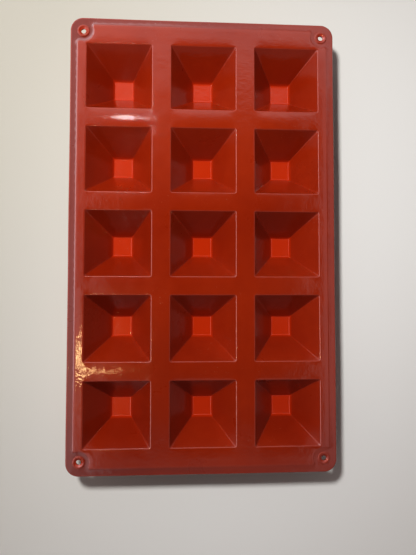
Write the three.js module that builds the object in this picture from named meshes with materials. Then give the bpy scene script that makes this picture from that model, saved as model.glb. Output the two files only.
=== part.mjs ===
// Flexible silicone casting tray: a flat deck with fifteen square-pyramid cavities (three columns by five rows),
// a thinner outer lip and a reinforced hanging eyelet in each corner.
// Millimetres, +Z up. The origin is the centre of the footprint, on the surface that the cavity feet stand on.
// X runs across the tray, Y along it. The open side of every cavity faces +Z.
import * as THREE from "three";

// ---- overall tray
const LENGTH = 295; // along Y
const WIDTH = 173.5; // along X
const HEIGHT = 25; // feet to deck top
const DECK_T = 2; // deck sheet thickness
const OUTER_R = 8.3; // plan radius of the tray's corners
const GAP = 0.3; // parting gap between neighbouring features

// ---- thin lip round the deck
const LIP_W = 4.25; // plan width of the lip
const LIP_DROP = 0.75; // the lip's top lies this far below the deck's top

// ---- corner eyelets
const EYELET_X = 78.25;
const EYELET_Y = 138.5;
const EYELET_HOLE_R = 2.15;
const EYELET_R = 4; // raised ring round the hole
const EYELET_EDGE = 0.45; // chamfer on the ring's top edge
const MOAT_R = 6.3; // lip-level pocket round each ring

// ---- cavities
const COLUMNS = 3;
const ROWS = 5;
const PITCH_X = 54.875;
const PITCH_Y = 54.625;
const MOUTH = 42.7; // cavity width at the deck's top, edges taken as sharp
const FLOOR = 12.7; // cavity width at its floor, edges taken as sharp
const DEPTH = 23;
const WALL_T = 2;
const LIP_FILLET = 1.25; // mouth edge
const FLOOR_FILLET = 1; // cavity floor edge
const FOOT_FILLET = 2; // outer foot edge
const MOUTH_CORNER_R = 2; // plan radius of a cavity's corners at the mouth
const FLOOR_CORNER_R = 1.3; // and at the floor
const SEAT = 45.2; // width of the square of deck that belongs to one cavity
const SEAT_R = 3.75; // its plan corner radius
const CORNER_STEPS = 3; // segments in each rounded plan corner

const SILICONE = { color: 0xa8280c, roughness: 0.32, metalness: 0 };
const silicone = () => new THREE.MeshStandardMaterial(SILICONE);

// Points of a rounded square or rectangle, anticlockwise seen from +Z, as [x, y].
function roundedRect(halfX, halfY, r, steps) {
  const pts = [];
  const centres = [
    [halfX - r, halfY - r, 0],
    [-(halfX - r), halfY - r, 90],
    [-(halfX - r), -(halfY - r), 180],
    [halfX - r, -(halfY - r), 270],
  ];
  for (const [cx, cy, start] of centres) {
    for (let i = 0; i <= steps; i++) {
      const a = THREE.MathUtils.degToRad(start + (90 * i) / steps);
      pts.push([cx + r * Math.cos(a), cy + r * Math.sin(a)]);
    }
  }
  return pts;
}

function circle(cx, cy, r, steps) {
  const pts = [];
  for (let i = 0; i < steps; i++) {
    const a = (2 * Math.PI * i) / steps;
    pts.push([cx + r * Math.cos(a), cy + r * Math.sin(a)]);
  }
  return pts;
}

const toPath = (pts) => new THREE.Path(pts.map(([x, y]) => new THREE.Vector2(x, y)));

// A flat plate of the given outline with holes, between two heights.
function plate(outline, holes, z0, z1) {
  const shape = new THREE.Shape(outline.map(([x, y]) => new THREE.Vector2(x, y)));
  for (const h of holes) shape.holes.push(toPath(h));
  const g = new THREE.ExtrudeGeometry(shape, { depth: z1 - z0, bevelEnabled: false, steps: 1 });
  return g.translate(0, 0, z0);
}

// A closed skin through rounded-square loops: it starts and ends in a flat cap with a point in its middle.
// Each loop is { half, r, z }. The order runs from the inside floor, over the mouth, to the foot.
function loopSolid(loops, steps) {
  const n = 4 * (steps + 1);
  const pos = [];
  const index = [];
  for (const { half, r, z } of loops) {
    for (const [x, y] of roundedRect(half, half, r, steps)) pos.push(x, y, z);
  }
  for (let k = 0; k + 1 < loops.length; k++) {
    for (let i = 0; i < n; i++) {
      const j = (i + 1) % n;
      const a = k * n + i;
      const b = k * n + j;
      index.push(a, a + n, b + n, a, b + n, b);
    }
  }
  const first = pos.length / 3;
  pos.push(0, 0, loops[0].z);
  const last = first + 1;
  pos.push(0, 0, loops[loops.length - 1].z);
  const base = (loops.length - 1) * n;
  for (let i = 0; i < n; i++) {
    const j = (i + 1) % n;
    index.push(first, i, j);
    index.push(last, base + j, base + i);
  }
  const g = new THREE.BufferGeometry();
  g.setAttribute("position", new THREE.Float32BufferAttribute(pos, 3));
  g.setIndex(index);
  g.computeVertexNormals();
  return g;
}

// ---- one cavity cup: a hollow pyramid frustum with a constant wall, and the square of deck round its mouth
function cupGeometry() {
  const a = MOUTH / 2;
  const b = FLOOR / 2;
  const slope = (a - b) / DEPTH; // half-width gained for each mm of height
  const angle = Math.atan2(DEPTH, a - b); // wall against the horizontal
  const tan = Math.tan(angle / 2);
  const zFloor = HEIGHT - DEPTH;
  const zUnder = HEIGHT - DECK_T;
  const side = WALL_T / Math.sin(angle); // wall thickness measured horizontally
  const footHalf = b - zFloor * slope + side; // outer wall carried down to the foot plane
  const rootHalf = b + (zUnder - zFloor) * slope + side; // and up to the deck's underside
  const cornerAt = (half) =>
    FLOOR_CORNER_R + ((MOUTH_CORNER_R - FLOOR_CORNER_R) * (half - b)) / (a - b);

  // Points of a fillet that turns from the direction `from` to the direction `to` round the corner (h, z).
  const fillet = (h, z, r, from, to, steps) => {
    const t = r * tan;
    const p0 = [h - from[0] * t, z - from[1] * t];
    const p1 = [h + to[0] * t, z + to[1] * t];
    const out = [];
    for (let i = 0; i <= steps; i++) {
      const u = i / steps;
      // A rational quadratic is the exact arc of this turn.
      const w = Math.cos(angle / 2);
      const k0 = (1 - u) * (1 - u);
      const k1 = 2 * u * (1 - u) * w;
      const k2 = u * u;
      const s = k0 + k1 + k2;
      out.push([
        (k0 * p0[0] + k1 * h + k2 * p1[0]) / s,
        (k0 * p0[1] + k1 * z + k2 * p1[1]) / s,
      ]);
    }
    return out;
  };
  const up = [Math.cos(angle), Math.sin(angle)]; // up the wall, away from the axis
  const down = [-up[0], -up[1]];

  const loops = [];
  const add = (pts, radius) => {
    for (const [half, z] of pts) loops.push({ half, z, r: radius(half) });
  };
  add(fillet(b, zFloor, FLOOR_FILLET, [1, 0], up, 2), (h) => Math.max(0.7, cornerAt(b) + (h - b)));
  add(fillet(a, HEIGHT, LIP_FILLET, up, [1, 0], 3), (h) => cornerAt(a) + (h - a));
  loops.push({ half: SEAT / 2, z: HEIGHT, r: SEAT_R });
  loops.push({ half: SEAT / 2, z: zUnder, r: SEAT_R });
  loops.push({ half: rootHalf, z: zUnder, r: cornerAt(a) + WALL_T * 0.8 });
  add(fillet(footHalf, 0, FOOT_FILLET, down, [-1, 0], 3), (h) =>
    Math.max(0.9, FLOOR_CORNER_R + WALL_T * 0.8 + (h - footHalf)),
  );
  return loopSolid(loops, CORNER_STEPS);
}

// ---- outline of the raised deck: a rectangle whose corners are cut back by the round pocket of each eyelet
function deckOutline(inset) {
  const hx = WIDTH / 2 - LIP_W - inset;
  const hy = LENGTH / 2 - LIP_W - inset;
  const moat = MOAT_R + inset;
  const start = Math.atan2(hy - EYELET_Y, -Math.sqrt(moat ** 2 - (hy - EYELET_Y) ** 2));
  const endX = hx - EYELET_X;
  const end = Math.atan2(-Math.sqrt(moat ** 2 - endX ** 2), endX);
  // The pocket's arc in the +X +Y corner, walked from the long side to the short side.
  const a0 = end;
  const a1 = start - 2 * Math.PI;
  const arc = [];
  const steps = 12;
  for (let i = 0; i <= steps; i++) {
    const a = a0 + ((a1 - a0) * i) / steps;
    arc.push([EYELET_X + moat * Math.cos(a), EYELET_Y + moat * Math.sin(a)]);
  }
  arc[0][0] = hx;
  arc[steps][1] = hy;
  const pts = [];
  pts.push(...arc);
  pts.push(...arc.map(([x, y]) => [-x, y]).reverse());
  pts.push(...arc.map(([x, y]) => [-x, -y]));
  pts.push(...arc.map(([x, y]) => [x, -y]).reverse());
  return pts;
}

const centresX = Array.from({ length: COLUMNS }, (_, i) => (i - (COLUMNS - 1) / 2) * PITCH_X);
const centresY = Array.from({ length: ROWS }, (_, i) => ((ROWS - 1) / 2 - i) * PITCH_Y);
const eyelets = [
  ["back_left", -1, 1],
  ["back_right", 1, 1],
  ["front_left", -1, -1],
  ["front_right", 1, -1],
];

const tray = new THREE.Group();
tray.name = "casting_tray";

// ---- deck sheet, with a seat for each cavity
const seat = roundedRect(SEAT / 2 + GAP, SEAT / 2 + GAP, SEAT_R + GAP, CORNER_STEPS);
const seats = [];
for (const cy of centresY) for (const cx of centresX) seats.push(seat.map(([x, y]) => [x + cx, y + cy]));
const deck = new THREE.Mesh(plate(deckOutline(GAP), seats, HEIGHT - DECK_T, HEIGHT), silicone());
deck.name = "deck_sheet";
tray.add(deck);

// ---- thin outer lip, with a round seat for each eyelet
const EYELET_STEPS = 24;
const lip = new THREE.Mesh(
  plate(
    roundedRect(WIDTH / 2, LENGTH / 2, OUTER_R, 6),
    [deckOutline(0), ...eyelets.map(([, sx, sy]) => circle(sx * EYELET_X, sy * EYELET_Y, EYELET_R + GAP, EYELET_STEPS))],
    HEIGHT - DECK_T,
    HEIGHT - LIP_DROP,
  ),
  silicone(),
);
lip.name = "rim_lip";
tray.add(lip);

// ---- eyelets: a thick ring round each hanging hole, level with the deck's top
const eyeletGroup = new THREE.Group();
const zb = HEIGHT - DECK_T;
const ring = new THREE.LatheGeometry(
  [
    [EYELET_HOLE_R, zb],
    [EYELET_R, zb],
    [EYELET_R, HEIGHT - EYELET_EDGE],
    [EYELET_R - EYELET_EDGE, HEIGHT],
    [EYELET_HOLE_R + EYELET_EDGE * 0.6, HEIGHT],
    [EYELET_HOLE_R, HEIGHT - EYELET_EDGE * 0.6],
    [EYELET_HOLE_R, zb],
  ].map(([r, z]) => new THREE.Vector2(r, z)),
  EYELET_STEPS,
  Math.PI / 2,
);
ring.rotateX(Math.PI / 2); // the lathe's own axis is Y
for (const [name, sx, sy] of eyelets) {
  const m = new THREE.Mesh(ring.clone(), silicone());
  m.name = `corner_eyelet_${name}`;
  m.position.set(sx * EYELET_X, sy * EYELET_Y, 0);
  eyeletGroup.add(m);
}
tray.add(eyeletGroup);

// ---- cavity cups, row by row from the back (+Y), column by column from the left (-X)
const cup = cupGeometry();
centresY.forEach((cy, r) => {
  const row = new THREE.Group();
  row.position.y = cy;
  centresX.forEach((cx, c) => {
    const m = new THREE.Mesh(cup.clone(), silicone());
    m.name = `cavity_cup_r${r + 1}_c${c + 1}`;
    m.position.x = cx;
    row.add(m);
  });
  tray.add(row);
});

export default tray;
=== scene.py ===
# Silicone casting tray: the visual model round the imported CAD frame.
import math

import bpy
import bmesh
from mathutils import Matrix, Vector, noise
from mathutils.geometry import delaunay_2d_cdt


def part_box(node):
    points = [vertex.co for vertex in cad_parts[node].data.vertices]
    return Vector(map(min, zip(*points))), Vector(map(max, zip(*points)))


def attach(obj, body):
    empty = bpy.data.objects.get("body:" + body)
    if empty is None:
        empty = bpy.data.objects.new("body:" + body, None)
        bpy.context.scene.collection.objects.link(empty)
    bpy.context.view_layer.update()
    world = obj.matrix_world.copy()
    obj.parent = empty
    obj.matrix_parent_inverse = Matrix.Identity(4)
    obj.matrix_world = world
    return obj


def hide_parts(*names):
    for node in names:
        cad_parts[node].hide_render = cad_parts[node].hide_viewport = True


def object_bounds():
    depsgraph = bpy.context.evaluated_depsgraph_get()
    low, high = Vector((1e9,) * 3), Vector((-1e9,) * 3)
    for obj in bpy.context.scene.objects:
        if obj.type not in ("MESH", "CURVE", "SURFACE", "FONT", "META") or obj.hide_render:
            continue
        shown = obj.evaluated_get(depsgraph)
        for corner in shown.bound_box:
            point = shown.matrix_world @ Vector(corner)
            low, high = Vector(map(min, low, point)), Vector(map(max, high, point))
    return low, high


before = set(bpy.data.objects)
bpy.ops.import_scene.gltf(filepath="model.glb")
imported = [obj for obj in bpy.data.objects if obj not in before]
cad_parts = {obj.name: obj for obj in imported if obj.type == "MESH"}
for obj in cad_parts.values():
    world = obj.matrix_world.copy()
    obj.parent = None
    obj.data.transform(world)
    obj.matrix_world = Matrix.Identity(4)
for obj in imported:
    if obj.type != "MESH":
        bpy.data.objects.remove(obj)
cad_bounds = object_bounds()

MM = 0.001

# ------------------------------------------------------------------ sizes, in millimetres, from the frame
lo, hi = cad_bounds
HALF_W = (hi[0] - lo[0]) / 2 / MM
HALF_L = (hi[1] - lo[1]) / 2 / MM
TOP = hi[2] / MM
deck_lo, deck_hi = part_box("deck_sheet")
lip_lo, lip_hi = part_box("rim_lip")
UNDER = deck_lo[2] / MM
LIP_TOP = lip_hi[2] / MM + 0.12
SEAM_Z = LIP_TOP + 0.28  # where the ramp down from the deck meets the lip
COLS, ROWS = 3, 5


def centre_of(node):
    a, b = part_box(node)
    return [(a[i] + b[i]) / 2 / MM for i in range(3)]


CUPS = [(r, c, centre_of("cavity_cup_r%d_c%d" % (r + 1, c + 1))) for r in range(ROWS) for c in range(COLS)]
EYELETS = [(n, centre_of("corner_eyelet_" + n)) for n in ("back_left", "back_right", "front_left", "front_right")]
EX, EY = abs(EYELETS[1][1][0]), abs(EYELETS[1][1][1])
PITCH_X = CUPS[1][2][0] - CUPS[0][2][0]
PITCH_Y = CUPS[0][2][1] - CUPS[3][2][1]

MOUTH = 42.7 / 2
FLOOR = 12.7 / 2
DEPTH = 23.0
FLOOR_Z = TOP - DEPTH
SEAT = 22.75
SEAT_R = 3.9
OUTER_R = 8.3
LIP_IN_X = HALF_W - 4.1  # where the ramp down from the deck ends and the lip begins
LIP_IN_Y = HALF_L - 4.1
MOAT = 6.15
RAMP = 1.15
RING_R = 4.1
HOLE_R = 1.6
CROWN = 0.22


def smooth(t):
    t = min(1.0, max(0.0, t))
    return t * t * (3 - 2 * t)


# ------------------------------------------------------------------ the tray's slight waviness
# It depends on the place only, so neighbouring pieces stay joined.
def warp(x, y, z):
    k = smooth(z / 22.0)
    n1 = noise.noise(Vector((x / 70.0 + 3.1, y / 70.0 - 1.7, 0.3)))
    n2 = noise.noise(Vector((x / 33.0 - 8.2, y / 33.0 + 4.4, 5.1)))
    out_x = smooth((abs(x) - LIP_IN_X + 1.0) / 4.5)
    out_y = smooth((abs(y) - LIP_IN_Y + 1.0) / 4.5)
    out = max(out_x, out_y)
    dz = -k * (0.15 + 0.11 * n1 + 0.035 * n2)
    if out > 0:
        n3 = noise.noise(Vector((x / 52.0 + 11.0, y / 52.0 + 2.0, 9.0)))
        n4 = noise.noise(Vector((x / 21.0 + 1.0, y / 21.0 - 6.0, 2.0)))
        dz += out * (0.30 * n3 + 0.10 * n4 - 0.1)
    # the top dips a little towards each mouth's near and far edge, so the cross webs are softly crowned
    if abs(x) < LIP_IN_X and abs(y) < LIP_IN_Y:
        for _, _, c in CUPS:
            qx, qy = MOUTH - abs(x - c[0]), abs(y - c[1]) - MOUTH
            if qx > 0.0 and qy < 4.0:
                dz -= k * CROWN * (1 - smooth(qy / 3.4)) * smooth(qx / 5.0)
    # on the right and in front the lip stands nearly as high as the deck
    edge = max(smooth((abs(x) - LIP_IN_X + 1.3) / 1.3), smooth((abs(y) - LIP_IN_Y + 1.3) / 1.3))
    edge = max(edge, smooth((MOAT + 1.3 - math.hypot(abs(x) - EX, abs(y) - EY)) / 1.3))
    if edge > 0 and z > UNDER:
        part = (TOP - z) / (TOP - LIP_TOP) if z > LIP_TOP else (z - UNDER) / (LIP_TOP - UNDER)
        dz += 0.34 * edge * part * min(1.0, max(0.0, 0.5 + 0.6 * x / HALF_W - 0.4 * y / HALF_L))
    dx = k * 0.10 * noise.noise(Vector((x / 60.0, y / 60.0, 20.0)))
    dy = k * 0.10 * noise.noise(Vector((x / 60.0, y / 60.0, 40.0)))
    # the long sides and the ends draw in a little
    fx = max(0.0, abs(x) / HALF_W)
    fy = max(0.0, abs(y) / HALF_L)
    dx -= math.copysign(k * (0.16 + 0.12 * noise.noise(Vector((y / 80.0, math.copysign(3.0, x), 7.0)))) * fx ** 3, x)
    dy -= math.copysign(k * (0.16 + 0.12 * noise.noise(Vector((x / 80.0, math.copysign(5.0, y), 8.0)))) * fy ** 3, y)
    return x + dx, y + dy, z + dz


# ------------------------------------------------------------------ mesh helpers
def make_piece(name, node, verts, faces, glow=None, sharp=32.0, shade=None):
    me = bpy.data.meshes.new(name)
    me.from_pydata([tuple(c * MM for c in warp(*v)) for v in verts], [], faces)
    me.validate()
    me.update()
    bm = bmesh.new()
    bm.from_mesh(me)
    bmesh.ops.recalc_face_normals(bm, faces=bm.faces)
    bm.to_mesh(me)
    bm.free()
    for p in me.polygons:
        p.use_smooth = True
    me.set_sharp_from_angle(angle=math.radians(sharp))
    # painted light: how much each point's colour is painted brighter
    if glow is not None:
        at = me.attributes.new("painted_glow", "FLOAT", "POINT")
        at.data.foreach_set("value", glow)
    # painted shade: how much each point's colour is painted darker
    if shade is not None:
        at = me.attributes.new("rim_shade", "FLOAT", "POINT")
        at.data.foreach_set("value", shade)
    ob = bpy.data.objects.new(name, me)
    bpy.context.scene.collection.objects.link(ob)
    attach(ob, "root")
    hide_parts(node)
    return ob


def rounded_loop(hx, hy, r, side, corner):
    """Anticlockwise rounded rectangle: `side` steps on each straight, `corner` on each arc."""
    pts = []
    cs = [(hx - r, hy - r, 0), (-(hx - r), hy - r, 90), (-(hx - r), -(hy - r), 180), (hx - r, -(hy - r), 270)]
    for q, (cx, cy, a0) in enumerate(cs):
        for i in range(corner):
            a = math.radians(a0 + 90.0 * i / corner)
            pts.append((cx + r * math.cos(a), cy + r * math.sin(a)))
        a = math.radians(a0 + 90.0)
        p = (cx + r * math.cos(a), cy + r * math.sin(a))
        nx, ny, na = cs[(q + 1) % 4]
        a = math.radians(na)
        t = (nx + r * math.cos(a), ny + r * math.sin(a))
        for i in range(side):
            f = i / side
            pts.append((p[0] + (t[0] - p[0]) * f, p[1] + (t[1] - p[1]) * f))
    return pts


SIDE_STEPS, CORNER_STEPS = 14, 6
N = 4 * (SIDE_STEPS + CORNER_STEPS)
WALL_ANGLE = math.atan2(DEPTH, MOUTH - FLOOR)
SLOPE = (MOUTH - FLOOR) / DEPTH
WALL_T = 2.0


def arc_between(h, z, r, frm, to, steps):
    """A round fillet of radius r at the corner (h, z), which turns from one unit direction to the other."""
    turn = math.acos(max(-1.0, min(1.0, frm[0] * to[0] + frm[1] * to[1])))
    t = r * math.tan(turn / 2)
    p0 = (h - frm[0] * t, z - frm[1] * t)
    p1 = (h + to[0] * t, z + to[1] * t)
    w = math.cos(turn / 2)
    out = []
    for i in range(steps + 1):
        u = i / steps
        k0, k1, k2 = (1 - u) ** 2, 2 * u * (1 - u) * w, u * u
        s = k0 + k1 + k2
        out.append(((k0 * p0[0] + k1 * h + k2 * p1[0]) / s, (k0 * p0[1] + k1 * z + k2 * p1[1]) / s))
    return out


def cup_loops():
    up = (math.cos(WALL_ANGLE), math.sin(WALL_ANGLE))
    down = (-up[0], -up[1])
    side = WALL_T / math.sin(WALL_ANGLE)
    foot = FLOOR - FLOOR_Z * SLOPE + side
    root = FLOOR + (UNDER - FLOOR_Z) * SLOPE + side

    def corner_at(h):
        return 0.42 + (1.10 - 0.42) * (h - FLOOR) / (MOUTH - FLOOR)

    loops = []  # (half, z, r)
    for h in (1.6, 3.1, 4.4, 5.2):
        loops.append((h, FLOOR_Z, 0.25 * h * 0.5))
    f = arc_between(FLOOR, FLOOR_Z, 0.8, (1, 0), up, 5)
    for h, z in f:
        loops.append((h, z, max(0.55, corner_at(FLOOR) + h - FLOOR)))
    m = arc_between(MOUTH, TOP, 1.05, up, (1, 0), 8)
    h0, z0 = f[-1]
    h1, z1 = m[0]
    for t in (0.02, 0.08, 0.18, 0.30, 0.42, 0.54, 0.66, 0.78, 0.88, 0.95, 0.985):
        h, z = h0 + (h1 - h0) * t, z0 + (z1 - z0) * t
        loops.append((h, z, corner_at(h)))
    for h, z in m:
        loops.append((h, z, corner_at(MOUTH) + (h - MOUTH)))
    hm = m[-1][0]
    for t in (0.35,):
        loops.append((hm + (SEAT - hm) * t, TOP, corner_at(MOUTH) + (hm - MOUTH) + (SEAT_R - corner_at(MOUTH) - (hm - MOUTH)) * t))
    loops.append((SEAT, TOP, SEAT_R))
    loops.append((SEAT, (TOP + UNDER) / 2, SEAT_R))
    loops.append((SEAT, UNDER, SEAT_R))
    outer = 3.7
    loops.append((root + 0.12, UNDER, outer + 0.1))
    o = arc_between(foot, 0.0, 2.0, down, (-1, 0), 6)
    for t in (0.0, 0.03, 0.15, 0.35, 0.55, 0.75, 0.9, 0.98):
        h = root + (o[0][0] - root) * t
        z = (UNDER - 0.12) + (o[0][1] - (UNDER - 0.12)) * t
        loops.append((h, z, outer + (2.4 - outer) * t))
    for h, z in o:
        loops.append((h, z, max(0.9, 2.4 + h - o[0][0])))
    for h in (5.0, 3.0, 1.3):
        loops.append((h, 0.0, 0.2 * h))
    return loops


LOOPS = cup_loops()
SEAT_INDEX = next(i for i, l in enumerate(LOOPS) if l[0] == SEAT)


def build_cup(r, c, centre):
    cx, cy, _ = centre
    verts, glow = [], []
    seed = r * 3 + c
    # each wall bows in a little near the floor, and the floor sits a little off centre, as in soft rubber
    jx = 0.14 * noise.noise(Vector((seed * 1.7, 0.4, 3.0)))
    jy = 0.14 * noise.noise(Vector((seed * 1.7, 5.4, 3.0)))
    bows = [0.20 + 0.14 * noise.noise(Vector((seed * 2.3, q * 1.9, 7.7))) for q in range(4)]
    inner_last = next(i for i, l in enumerate(LOOPS) if l[1] == TOP)
    for k, (h, z, rad) in enumerate(LOOPS):
        ring = rounded_loop(h, h, rad, SIDE_STEPS, CORNER_STEPS)
        deep = (TOP - z) / DEPTH if k < inner_last else (UNDER - z) / UNDER if k > SEAT_INDEX + 1 else 0.0
        deep = max(0.0, min(1.0, deep))
        pull = smooth(deep) if k < inner_last else 0.6 * smooth(deep)
        for x, y in ring:
            m = max(abs(x), abs(y)) or 1.0
            # distance from the middle of the side, 0 at the middle and 1 at the corner
            if abs(x) >= abs(y):
                q, s, nx, ny = (0 if x > 0 else 2), abs(y) / m, math.copysign(1, x), 0.0
            else:
                q, s, nx, ny = (1 if y > 0 else 3), abs(x) / m, 0.0, math.copysign(1, y)
            b = bows[q] * (1 - s * s) * math.sin(math.pi * min(1.0, deep * 0.9)) if k < inner_last and h > 5.5 else 0.0
            b += 0.12 * bows[q] * pull * (1 - s * s) if k < inner_last and h > 5.5 else 0.0
            verts.append((cx + x - nx * b + jx * pull, cy + y - ny * b + jy * pull, z))
            # painted light: the floor and the foot of the walls are painted brighter
            if k < inner_last:
                glow.append(1.0 - smooth((z - FLOOR_Z - 0.15) / 2.2))
            else:
                glow.append(0.0)
    faces = []
    n = N
    for k in range(len(LOOPS) - 1):
        for i in range(n):
            j = (i + 1) % n
            faces.append((k * n + i, (k + 1) * n + i, (k + 1) * n + j, k * n + j))
    first = len(verts)
    verts.append((cx + jx, cy + jy, LOOPS[0][1]))
    glow.append(1.0)
    last = first + 1
    verts.append((cx, cy, 0.0))
    glow.append(0.0)
    base = (len(LOOPS) - 1) * n
    for i in range(n):
        j = (i + 1) % n
        faces.append((first, i, j))
        faces.append((last, base + j, base + i))
    return make_piece("cavity_r%d_c%d" % (r + 1, c + 1), "cavity_cup_r%d_c%d" % (r + 1, c + 1), verts, faces, glow)


def seat_loop(centre):
    return [(centre[0] + x, centre[1] + y) for x, y in rounded_loop(SEAT, SEAT, SEAT_R, SIDE_STEPS, CORNER_STEPS)]


# ------------------------------------------------------------------ the deck's outline, with its round corner pockets
def deck_outline(inset):
    hx, hy = LIP_IN_X - inset, LIP_IN_Y - inset
    m = MOAT + inset
    rho = 2.0 - inset
    # centres of the two convex fillets in the +X +Y corner: they don't move with the inset
    ax = LIP_IN_X - 2.0
    ay = EY - math.sqrt((MOAT + 2.0) ** 2 - (ax - EX) ** 2)
    by = LIP_IN_Y - 2.0
    bx = EX - math.sqrt((MOAT + 2.0) ** 2 - (by - EY) ** 2)

    def arc(cx, cy, r, a0, a1, steps, last=True):
        return [
            (cx + r * math.cos(a0 + (a1 - a0) * i / steps), cy + r * math.sin(a0 + (a1 - a0) * i / steps))
            for i in range(steps + (1 if last else 0))
        ]

    corner = []
    to_e = math.atan2(EY - ay, EX - ax)
    corner += arc(ax, ay, rho, 0.0, to_e, 6, last=False)
    s0 = math.atan2(ay - EY, ax - EX)
    s1 = math.atan2(by - EY, bx - EX) - 2 * math.pi
    corner += arc(EX, EY, m, s0, s1, 20, last=False)
    from_e = math.atan2(EY - by, EX - bx)
    corner += arc(bx, by, rho, from_e, math.pi / 2, 6)
    loops = [
        corner,
        [(-x, y) for x, y in reversed(corner)],
        [(-x, -y) for x, y in corner],
        [(x, -y) for x, y in reversed(corner)],
    ]
    steps = [52, 92, 52, 92]  # top, left, bottom, right
    pts = []
    for q in range(4):
        pts += loops[q]
        a, b = loops[q][-1], loops[(q + 1) % 4][0]
        for i in range(1, steps[q]):
            f = i / steps[q]
            pts.append((a[0] + (b[0] - a[0]) * f, a[1] + (b[1] - a[1]) * f))
    return pts


def inside(poly, x, y):
    hit = False
    n = len(poly)
    j = n - 1
    for i in range(n):
        xi, yi = poly[i]
        xj, yj = poly[j]
        if (yi > y) != (yj > y) and x < (xj - xi) * (y - yi) / (yj - yi) + xi:
            hit = not hit
        j = i
    return hit


def sheet(outer, holes, extra):
    """Triangles of the region inside `outer` and outside `holes`. Vertices: outer, each hole, then the extra points."""
    coords = [Vector(p) for p in outer]
    edges = [(i, (i + 1) % len(outer)) for i in range(len(outer))]
    for h in holes:
        base = len(coords)
        coords += [Vector(p) for p in h]
        edges += [(base + i, base + (i + 1) % len(h)) for i in range(len(h))]
    coords += [Vector(p) for p in extra]
    v, _, f, orig, _, _ = delaunay_2d_cdt(coords, edges, [], 0, 1e-6)
    if len(v) != len(coords):
        raise RuntimeError("the outline's points merged: %d became %d" % (len(coords), len(v)))
    back = [o[0] for o in orig]
    tris = []
    for t in f:
        x = sum(v[i][0] for i in t) / 3
        y = sum(v[i][1] for i in t) / 3
        if not inside(outer, x, y) or any(
            abs(x - hc[0]) < hc[2] and abs(y - hc[1]) < hc[2] and inside(h, x, y) for h, hc in zip(holes, hole_boxes(holes))
        ):
            continue
        tris.append(tuple(back[i] for i in t))
    return [tuple(c) for c in coords], tris


_boxes = {}


def hole_boxes(holes):
    key = id(holes)
    if key not in _boxes:
        out = []
        for h in holes:
            xs, ys = [p[0] for p in h], [p[1] for p in h]
            out.append(((min(xs) + max(xs)) / 2, (min(ys) + max(ys)) / 2, max(max(xs) - min(xs), max(ys) - min(ys)) / 2 + 0.01))
        _boxes[key] = out
    return _boxes[key]


def near(p, pts, d):
    return any(abs(p[0] - q[0]) < d and abs(p[1] - q[1]) < d and math.hypot(p[0] - q[0], p[1] - q[1]) < d for q in pts)


def build_deck():
    ramp = [0.0, 0.1, 0.25, 0.42, 0.58, 0.75, 0.9, 1.0]
    insets = [RAMP * t for t in ramp]
    outline = [deck_outline(i) for i in insets]
    n = len(outline[0])
    holes = [seat_loop(c) for _, _, c in CUPS]
    # rows of points along the middle of each web and in the margins
    extra = []
    boundary = [p for h in holes for p in h]
    inner = outline[-1]
    gx = 2.9
    y = -LIP_IN_Y + 2.2
    while y < LIP_IN_Y - 2.0:
        x = -LIP_IN_X + 2.0
        while x < LIP_IN_X - 1.8:
            if (
                not any(abs(x - c[0]) < SEAT + 0.9 and abs(y - c[1]) < SEAT + 0.9 for _, _, c in CUPS)
                and inside(inner, x, y)
                and not near((x, y), inner, 0.9)
            ):
                extra.append((x, y))
            x += gx
        y += gx
    flat, tris = sheet(inner, holes, extra)
    verts = [(x, y, TOP) for x, y in flat]
    faces = [t for t in tris]
    rows = [list(range(n))]  # the top's own boundary
    for k in range(len(insets) - 2, -1, -1):
        t = 1 - ramp[k]
        z = SEAM_Z + (TOP - SEAM_Z) * (1 - (0.45 * t + 0.55 * smooth(t)))
        rows.append(list(range(len(verts), len(verts) + n)))
        verts += [(x, y, z) for x, y in outline[k]]
    # down the outer side, which the lip hides, and the underside
    under = len(verts)
    rows.append(list(range(under, under + n)))
    verts += [(x, y, UNDER) for x, y in outline[0]]
    for a, b in zip(rows, rows[1:]):
        for i in range(n):
            j = (i + 1) % n
            faces.append((a[i], b[i], b[j], a[j]))
    low, low_tris = sheet(outline[0], holes, extra)
    index = {}
    for i, p in enumerate(low):
        if i < n:
            index[i] = under + i
        else:
            index[i] = len(verts)
            verts.append((p[0], p[1], UNDER))
    faces += [tuple(index[i] for i in reversed(t)) for t in low_tris]
    base = n
    for h in holes:
        m = len(h)
        for i in range(m):
            j = (i + 1) % m
            faces.append((base + i, base + j, index[base + j], index[base + i]))
        base += m
    # painted shade: the ramp down to the lip is painted darker towards its foot
    shade = [0.0] * len(verts)
    for k, row in enumerate(rows[:-1]):
        for i in row:
            shade[i] = smooth(k / (len(rows) - 2)) * painted_rim_shade(verts[i][0], verts[i][1])
    return make_piece("deck", "deck_sheet", verts, faces, [0.0] * len(verts), shade=shade)


def painted_rim_shade(x, y):
    """How much darker the lip and the deck's ramp down to it are painted, as painted shade: most on the left, least on
    the right.
    """
    return 0.50 - 0.36 * (x / HALF_W) + 0.06 * (y / HALF_L)


def circle(cx, cy, r, steps):
    return [(cx + r * math.cos(2 * math.pi * i / steps), cy + r * math.sin(2 * math.pi * i / steps)) for i in range(steps)]


RING_STEPS = 48


def outer_outline(inset):
    return rounded_loop(HALF_W - inset, HALF_L - inset, OUTER_R - inset, 110, 16)


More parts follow.
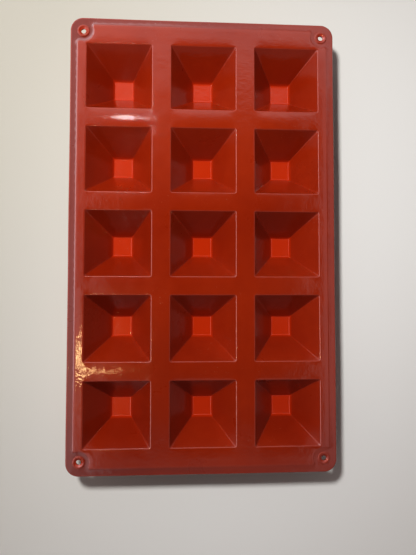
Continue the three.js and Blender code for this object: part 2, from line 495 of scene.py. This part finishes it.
def build_lip():
    mid = (LIP_TOP + UNDER) / 2
    half_t = (LIP_TOP - UNDER) / 2
    profile = []  # round outer edge, from the top round to the underside
    steps = 8
    for i in range(steps + 1):
        a = math.pi / 2 - math.pi * i / steps
        profile.append((half_t * (1 - math.cos(a)), mid + half_t * math.sin(a)))
    outlines = [outer_outline(i) for i, _ in profile]
    n = len(outlines[0])
    hole = deck_outline(0.0)
    rings = [circle(c[0], c[1], RING_R, RING_STEPS) for _, c in EYELETS]
    inner = outlines[0]
    extra = []
    rim = outer_outline(half_t + 0.45)
    for i in range(0, len(rim)):
        extra.append(rim[i])
    foot = deck_outline(-0.9)
    for i in range(0, len(foot), 2):
        extra.append(foot[i])
    second = outer_outline(half_t + 1.5)
    for i in range(0, len(second), 2):
        p = second[i]
        if not near(p, hole, 0.7) and not near(p, foot, 0.6) and not any(math.hypot(p[0] - c[0], p[1] - c[1]) < RING_R + 0.8 for _, c in EYELETS):
            extra.append(p)
    for _, c in EYELETS:
        for rad in (RING_R + 0.5, RING_R + 1.2):
            for p in circle(c[0], c[1], rad, RING_STEPS // 2):
                if not inside(hole, *p) and not near(p, hole, 0.5) and not near(p, rim, 0.6) and not near(p, extra[len(rim):], 0.5):
                    extra.append(p)
    holes = [hole] + rings
    flat, tris = sheet_lip(inner, holes, extra)
    seam = range(n, n + len(hole))
    verts = [(x, y, SEAM_Z if i in seam else LIP_TOP) for i, (x, y) in enumerate(flat)]
    faces = list(tris)
    rows = [list(range(n))]
    for k in range(1, len(profile)):
        rows.append(list(range(len(verts), len(verts) + n)))
        verts += [(x, y, profile[k][1]) for x, y in outlines[k]]
    for a, b in zip(rows, rows[1:]):
        for i in range(n):
            j = (i + 1) % n
            faces.append((a[i], b[i], b[j], a[j]))
    under = rows[-1]
    index = {i: under[i] for i in range(n)}
    for i in range(n, len(flat)):
        index[i] = len(verts)
        verts.append((flat[i][0], flat[i][1], UNDER))
    faces += [tuple(index[i] for i in reversed(t)) for t in tris]
    base = n
    for h in holes:
        m = len(h)
        for i in range(m):
            j = (i + 1) % m
            faces.append((base + i, base + j, index[base + j], index[base + i]))
        base += m
    # painted shade: the lip's top is painted darker, fading in from its round outer edge
    shade = []
    for x, y, z in verts:
        qx, qy = abs(x) - (HALF_W - OUTER_R), abs(y) - (HALF_L - OUTER_R)
        if qx > 0 and qy > 0:
            d = OUTER_R - math.hypot(qx, qy)
        else:
            d = min(HALF_W - abs(x), HALF_L - abs(y))
        shade.append(smooth((d - 0.25) / 0.9) * painted_rim_shade(x, y) if z > LIP_TOP - 0.01 else 0.0)
    return make_piece("rim_lip_skin", "rim_lip", verts, faces, [0.0] * len(verts), shade=shade)


def sheet_lip(outer, holes, extra):
    coords = [Vector(p) for p in outer]
    edges = [(i, (i + 1) % len(outer)) for i in range(len(outer))]
    for h in holes:
        base = len(coords)
        coords += [Vector(p) for p in h]
        edges += [(base + i, base + (i + 1) % len(h)) for i in range(len(h))]
    coords += [Vector(p) for p in extra]
    v, _, f, orig, _, _ = delaunay_2d_cdt(coords, edges, [], 0, 1e-6)
    if len(v) != len(coords):
        raise RuntimeError("the lip's points merged: %d became %d" % (len(coords), len(v)))
    back = [o[0] for o in orig]
    tris = []
    for t in f:
        x = sum(v[i][0] for i in t) / 3
        y = sum(v[i][1] for i in t) / 3
        if not inside(outer, x, y) or any(inside(h, x, y) for h in holes):
            continue
        tris.append(tuple(back[i] for i in t))
    return [tuple(c) for c in coords], tris


def build_eyelet(name, centre):
    cx, cy, _ = centre
    # a round bead that runs out on to the lip
    zt = TOP
    prof = [(RING_R, UNDER), (RING_R, LIP_TOP), (RING_R - 0.06, LIP_TOP + 0.05)]
    steps = 6
    for cr, r, a0, a1 in ((RING_R - 0.62, 0.50, 0.0, 90.0), (HOLE_R + 1.4, 0.40, 90.0, 145.0)):
        for i in range(steps + 1):
            a = math.radians(a0 + (a1 - a0) * i / steps)
            prof.append((cr + r * math.cos(a), max(LIP_TOP + 0.08, zt - r) + min(r, zt - LIP_TOP - 0.08) * math.sin(a)))
    # the hole narrows like a shallow funnel
    prof += [(HOLE_R + 0.12, LIP_TOP - 0.12), (HOLE_R, LIP_TOP - 0.25), (HOLE_R + 0.05, LIP_TOP - 0.45), (HOLE_R + 0.15, UNDER)]
    verts, faces, painted_funnel_glow = [], [], []
    m = len(prof)
    for i in range(RING_STEPS):
        a = 2 * math.pi * i / RING_STEPS
        for rr, z in prof:
            verts.append((cx + rr * math.cos(a), cy + rr * math.sin(a), z))
            # painted light: the funnel is painted brighter near the hole, less at the front right, under which the
            # tray's shadow lies
            painted_funnel_glow.append((0.3 if name == "front_right" else 0.8) * smooth((HOLE_R + 1.5 - rr) / 1.2) if z > LIP_TOP - 0.5 else 0.0)
    for i in range(RING_STEPS):
        j = (i + 1) % RING_STEPS
        for k in range(m):
            l = (k + 1) % m
            faces.append((i * m + k, j * m + k, j * m + l, i * m + l))
    return make_piece("eyelet_" + name, "corner_eyelet_" + name, verts, faces, painted_funnel_glow, sharp=40)


# ------------------------------------------------------------------ material
def silicone_material():
    mat = bpy.data.materials.new("silicone")
    mat.use_nodes = True
    nt = mat.node_tree
    nt.nodes.clear()
    new = nt.nodes.new
    link = nt.links.new
    out = new("ShaderNodeOutputMaterial")
    bsdf = new("ShaderNodeBsdfPrincipled")
    link(bsdf.outputs["BSDF"], out.inputs["Surface"])
    co = new("ShaderNodeTexCoord")

    def tex_noise(scale, detail=2.0, rough=0.5, distortion=0.0):
        n = new("ShaderNodeTexNoise")
        n.inputs["Scale"].default_value = scale
        n.inputs["Detail"].default_value = detail
        n.inputs["Roughness"].default_value = rough
        n.inputs["Distortion"].default_value = distortion
        link(co.outputs["Object"], n.inputs["Vector"])
        return n

    def remap(src, a, b, c, d):
        n = new("ShaderNodeMapRange")
        n.inputs["From Min"].default_value = a
        n.inputs["From Max"].default_value = b
        n.inputs["To Min"].default_value = c
        n.inputs["To Max"].default_value = d
        link(src, n.inputs["Value"])
        return n.outputs["Result"]

    def mix(fac, a, b, blend="MIX"):
        n = new("ShaderNodeMix")
        n.data_type = "RGBA"
        n.blend_type = blend
        if isinstance(fac, float):
            n.inputs["Factor"].default_value = fac
        else:
            link(fac, n.inputs["Factor"])
        for sock, val in (("A", a), ("B", b)):
            s = next(i for i in n.inputs if i.name == sock and i.type == "RGBA")
            if isinstance(val, tuple):
                s.default_value = (*val, 1.0)
            else:
                link(val, s)
        return next(o for o in n.outputs if o.type == "RGBA")

    broad = tex_noise(14.0, 3.0)
    fine = tex_noise(160.0, 4.0, 0.6)
    deep = (0.250, 0.0205, 0.0022)
    pale = (0.310, 0.0285, 0.0040)
    colour = mix(remap(broad.outputs["Fac"], 0.35, 0.65, 0.0, 1.0), deep, pale)
    colour = mix(remap(fine.outputs["Fac"], 0.3, 0.7, 0.0, 0.25), colour, (0.217, 0.0145, 0.0016))
    # painted light: the floors, fading up the walls, and the eyelets' funnels are painted a brighter red, standing in
    # for light let through the thin rubber from the pale table
    glow = new("ShaderNodeAttribute")
    glow.attribute_name = "painted_glow"
    colour = mix(remap(glow.outputs["Fac"], 0.0, 1.0, 0.0, 0.85), colour, (0.50, 0.037, 0.0032))
    # painted shade: the lip and the ramp down to it are painted a darker red
    rim = new("ShaderNodeAttribute")
    rim.attribute_name = "rim_shade"
    colour = mix(remap(rim.outputs["Fac"], 0.0, 1.0, 0.0, 0.85), colour, (0.120, 0.0125, 0.0045))
    # sparse pale dust
    dust = tex_noise(900.0, 1.0, 0.5)
    patches = tex_noise(45.0, 2.0, 0.5)
    speck = new("ShaderNodeMath")
    speck.operation = "MULTIPLY"
    link(remap(dust.outputs["Fac"], 0.70, 0.78, 0.0, 1.0), speck.inputs[0])
    link(remap(patches.outputs["Fac"], 0.50, 0.75, 0.0, 0.22), speck.inputs[1])
    colour = mix(speck.outputs["Value"], colour, (0.55, 0.42, 0.36))
    link(colour, bsdf.inputs["Base Color"])
    smudge = tex_noise(38.0, 4.0, 0.6, 0.4)
    link(remap(smudge.outputs["Fac"], 0.3, 0.7, 0.26, 0.36), bsdf.inputs["Roughness"])
    bsdf.inputs["IOR"].default_value = 1.52
    bsdf.inputs["Specular IOR Level"].default_value = 0.25
    bsdf.inputs["Coat Weight"].default_value = 0.9
    bsdf.inputs["Coat Roughness"].default_value = 0.035
    bsdf.inputs["Coat IOR"].default_value = 1.5

    # moulded skin: soft waves with a faint orange peel on top
    bump1 = new("ShaderNodeBump")
    bump1.inputs["Strength"].default_value = 0.35
    bump1.inputs["Distance"].default_value = 0.0006
    link(tex_noise(75.0, 2.0, 0.45).outputs["Fac"], bump1.inputs["Height"])
    bump2 = new("ShaderNodeBump")
    bump2.inputs["Strength"].default_value = 0.5
    bump2.inputs["Distance"].default_value = 0.00006
    link(tex_noise(1500.0, 2.0, 0.55).outputs["Fac"], bump2.inputs["Height"])
    link(bump1.outputs["Normal"], bump2.inputs["Normal"])
    link(bump2.outputs["Normal"], bsdf.inputs["Normal"])
    # the gloss on it is broken up by a coarser grain
    bump3 = new("ShaderNodeBump")
    bump3.inputs["Strength"].default_value = 0.6
    bump3.inputs["Distance"].default_value = 0.00012
    link(tex_noise(620.0, 2.0, 0.6).outputs["Fac"], bump3.inputs["Height"])
    link(bump1.outputs["Normal"], bump3.inputs["Normal"])
    link(bump3.outputs["Normal"], bsdf.inputs["Coat Normal"])
    return mat


def table_material():
    mat = bpy.data.materials.new("table")
    mat.use_nodes = True
    bsdf = mat.node_tree.nodes["Principled BSDF"]
    # painted shade: the pale top is painted darker and warmer towards the back left, where the key lamp is near, and
    # pale and neutral towards the front right
    nt = mat.node_tree
    co = nt.nodes.new("ShaderNodeTexCoord")
    grad = nt.nodes.new("ShaderNodeVectorMath")
    grad.operation = "DOT_PRODUCT"
    grad.inputs[1].default_value = (2.2, -1.35, 0.0)
    nt.links.new(co.outputs["Object"], grad.inputs[0])
    pos = nt.nodes.new("ShaderNodeMapRange")
    pos.interpolation_type = "SMOOTHSTEP"
    pos.inputs["From Min"].default_value = -0.55
    pos.inputs["From Max"].default_value = 0.45
    nt.links.new(grad.outputs["Value"], pos.inputs["Value"])
    ramp = nt.nodes.new("ShaderNodeMix")
    ramp.data_type = "RGBA"
    nt.links.new(pos.outputs["Result"], ramp.inputs["Factor"])
    a, b = [i for i in ramp.inputs if i.type == "RGBA"]
    a.default_value = (0.475, 0.455, 0.395, 1.0)
    b.default_value = (0.99, 0.99, 0.98, 1.0)
    nt.links.new(next(o for o in ramp.outputs if o.type == "RGBA"), bsdf.inputs["Base Color"])
    bsdf.inputs["Roughness"].default_value = 0.38
    bsdf.inputs["Specular IOR Level"].default_value = 0.4
    return mat


pieces = [build_cup(r, c, centre) for r, c, centre in CUPS]
pieces.append(build_deck())
pieces.append(build_lip())
pieces += [build_eyelet(n, c) for n, c in EYELETS]
SILICONE = silicone_material()
for p in pieces:
    p.data.materials.append(SILICONE)

# ------------------------------------------------------------------ table
bm = bmesh.new()
bmesh.ops.create_grid(bm, x_segments=2, y_segments=2, size=3.0)
me = bpy.data.meshes.new("table")
bm.to_mesh(me)
bm.free()
me.materials.append(table_material())
table = bpy.data.objects.new("table", me)
bpy.context.scene.collection.objects.link(table)


# ------------------------------------------------------------------ camera
cam = bpy.data.cameras.new("camera")
cam.sensor_width = 36.0
cam.lens = 436.8 / 555.0 * 36.0
cam.clip_start = 0.01
cam.clip_end = 20.0
cam_ob = bpy.data.objects.new("camera", cam)
bpy.context.scene.collection.objects.link(cam_ob)
rv = Vector((-0.0364, 0.0515, -0.0021))
R = Matrix.Rotation(rv.length, 3, rv.normalized())
t = Vector((-2.989, 21.944, -282.37)) * MM
Rt = R.transposed()
loc = -(Rt @ t) + Vector((0.0, 0.0, TOP * MM))
cam_ob.matrix_world = Matrix.Translation(loc) @ Rt.to_4x4()
bpy.context.scene.camera = cam_ob


# ------------------------------------------------------------------ light
def area(name, place, aim, size, power, colour=(1, 1, 1)):
    """A rectangular lamp at `place` facing `aim`, its long side along Y."""
    li = bpy.data.lights.new(name, "AREA")
    li.shape = "RECTANGLE"
    li.size, li.size_y = size
    li.energy = power
    li.color = colour
    ob = bpy.data.objects.new(name, li)
    place = Vector(place)
    back = (place - Vector(aim)).normalized()
    along = Vector((0, 1, 0))
    along = (along - back * along.dot(back)).normalized()
    m = Matrix((along.cross(back), along, back)).transposed().to_4x4()
    ob.matrix_world = Matrix.Translation(place) @ m
    bpy.context.scene.collection.objects.link(ob)
    return ob


# a long soft lamp near the back left of the tray
key = area("key", (-0.132, 0.158, 0.43), (0.0, 0.10, 0.025), (0.05, 0.06), 2.90, (1.0, 0.988, 0.962))
key.visible_glossy = False
# small lamps that only draw highlights: a white one, and two warm strips like a corner of a lit doorway
glint = area("glint", (-0.103, 0.25, 0.44), (-0.05, 0.08, 0.025), (0.036, 0.011), 0.095, (1.0, 0.96, 0.97))
glint.visible_diffuse = False
for name, place, size, power in (
    ("warm_upright", (-0.1785, -0.128, 0.44), (0.007, 0.050), 0.125),
    ("warm_level", (-0.146, -0.151, 0.44), (0.060, 0.005), 0.060),
):
    warm = area(name, place, (-0.05, -0.05, 0.025), size, power, (1.0, 0.66, 0.30))
    warm.visible_diffuse = False

# the studio round it: bright low down behind and to the left, dark overhead
world = bpy.data.worlds.new("studio")
bpy.context.scene.world = world
world.use_nodes = True
wn = world.node_tree
bg = wn.nodes["Background"]
bg.inputs["Color"].default_value = (1.0, 0.94, 1.04, 1.0)
sky = wn.nodes.new("ShaderNodeTexCoord")
split = wn.nodes.new("ShaderNodeSeparateXYZ")
wn.links.new(sky.outputs["Generated"], split.inputs["Vector"])


def wmath(op, a, b=0.0):
    n = wn.nodes.new("ShaderNodeMath")
    n.operation = op
    for i, v in enumerate((a, b)):
        if isinstance(v, (int, float)):
            n.inputs[i].default_value = v
        else:
            wn.links.new(v, n.inputs[i])
    return n.outputs["Value"]


def wstep(v, a, b, c=0.0, d=1.0):
    n = wn.nodes.new("ShaderNodeMapRange")
    n.interpolation_type = "SMOOTHSTEP"
    for k, x in (("From Min", a), ("From Max", b), ("To Min", c), ("To Max", d)):
        n.inputs[k].default_value = x
    wn.links.new(v, n.inputs["Value"])
    return n.outputs["Result"]


def lobe(azimuth, a, b):
    """0 to 1 as a direction turns towards this azimuth; a and b are the dot products where it starts and is full."""
    x, y = math.cos(math.radians(azimuth)), math.sin(math.radians(azimuth))
    flat = wmath("SQRT", wmath("SUBTRACT", 1.0, wmath("MULTIPLY", split.outputs["Z"], split.outputs["Z"])))
    d = wmath("ADD", wmath("MULTIPLY", split.outputs["X"], x), wmath("MULTIPLY", split.outputs["Y"], y))
    return wstep(wmath("DIVIDE", d, wmath("MAXIMUM", flat, 0.001)), a, b)


# bright low down behind and to the left
low = wstep(split.outputs["Z"], 0.50, 0.70, 1.0, 0.0)
toward = lobe(140, -0.1, 0.8)
# a pale ceiling round a dark patch overhead, brighter to the left and behind
up = wmath("MAXIMUM", split.outputs["Z"], 0.05)
u = wmath("DIVIDE", split.outputs["X"], up)
v = wmath("DIVIDE", split.outputs["Y"], up)
sides = wmath("MAXIMUM", wstep(u, -0.31, -0.14, 1.6, 0.0), wmath("MULTIPLY", wstep(u, 0.27, 0.33, 0.0, 1.1), wstep(split.outputs["Z"], 0.72, 0.86)))
ends = wmath("MAXIMUM", wstep(v, 0.36, 0.62, 0.0, 1.75), wstep(v, -0.42, -0.28, 0.50, 0.0))
ceiling = wmath("MULTIPLY", wmath("MAXIMUM", sides, ends), wstep(split.outputs["Z"], 0.52, 0.68))
# the glossy rubber shows more of the room than the dull light of it would suggest
shown = wmath("ADD", ceiling, wmath("MULTIPLY", low, wmath("ADD", 0.30, wmath("MULTIPLY", toward, 0.9))))
# a bright band, half way up behind and to the left, draws thin lines along the mouths' edges
band = wmath("MULTIPLY", wstep(split.outputs["Z"], 0.36, 0.42), wstep(split.outputs["Z"], 0.62, 0.70, 1.0, 0.0))
band = wmath("MULTIPLY", band, lobe(155, 0.2, 0.9))
shown = wmath("ADD", shown, wmath("MULTIPLY", band, 4.6))
lit = wmath("ADD", wmath("MULTIPLY", ceiling, 0.17), wmath("MULTIPLY", low, wmath("ADD", 0.015, wmath("MULTIPLY", toward, 0.55))))
path = wn.nodes.new("ShaderNodeLightPath")
glossy = path.outputs["Is Glossy Ray"]
strength = wmath("ADD", lit, wmath("MULTIPLY", glossy, wmath("SUBTRACT", shown, lit)))
# the room itself is plain and pale where the camera looks straight at it
straight = path.outputs["Is Camera Ray"]
strength = wmath("ADD", strength, wmath("MULTIPLY", straight, wmath("SUBTRACT", 0.62, strength)))
wn.links.new(strength, bg.inputs["Strength"])
# what lights the shadows has been warmed by the rubber, what is reflected is cooler
tint = wn.nodes.new("ShaderNodeMix")
tint.data_type = "RGBA"
wn.links.new(glossy, tint.inputs["Factor"])
warm_side, cool_side = [i for i in tint.inputs if i.type == "RGBA"]
warm_side.default_value = (1.0, 0.84, 0.79, 1.0)
cool_side.default_value = (1.0, 0.95, 1.02, 1.0)
seen = wn.nodes.new("ShaderNodeMix")
seen.data_type = "RGBA"
wn.links.new(straight, seen.inputs["Factor"])
elsewhere, backdrop = [i for i in seen.inputs if i.type == "RGBA"]
wn.links.new(next(o for o in tint.outputs if o.type == "RGBA"), elsewhere)
backdrop.default_value = (1.0, 0.985, 0.96, 1.0)
wn.links.new(next(o for o in seen.outputs if o.type == "RGBA"), bg.inputs["Color"])

# a film-like response: a soft toe and a soft shoulder
view = bpy.context.scene.view_settings
view.view_transform = "Standard"
view.look = "None"
view.use_curve_mapping = True
curves = view.curve_mapping
REACH = 2.0  # the scene value at the right end of the curve
curves.white_level = (REACH, REACH, REACH)
curve = curves.curves[3]


def response(x):
    y = x ** 1.22
    return min(1.0, y / (1 + 0.25 * y))


stops = [0.0, 0.01, 0.025, 0.05, 0.1, 0.17, 0.25, 0.35, 0.5, 0.65, 0.8, 1.0]
while len(curve.points) < len(stops):
    curve.points.new(0.5, 0.5)
for p, u in zip(curve.points, stops):
    p.location = (u, response(u * REACH))
    p.handle_type = "AUTO_CLAMPED"
curves.update()
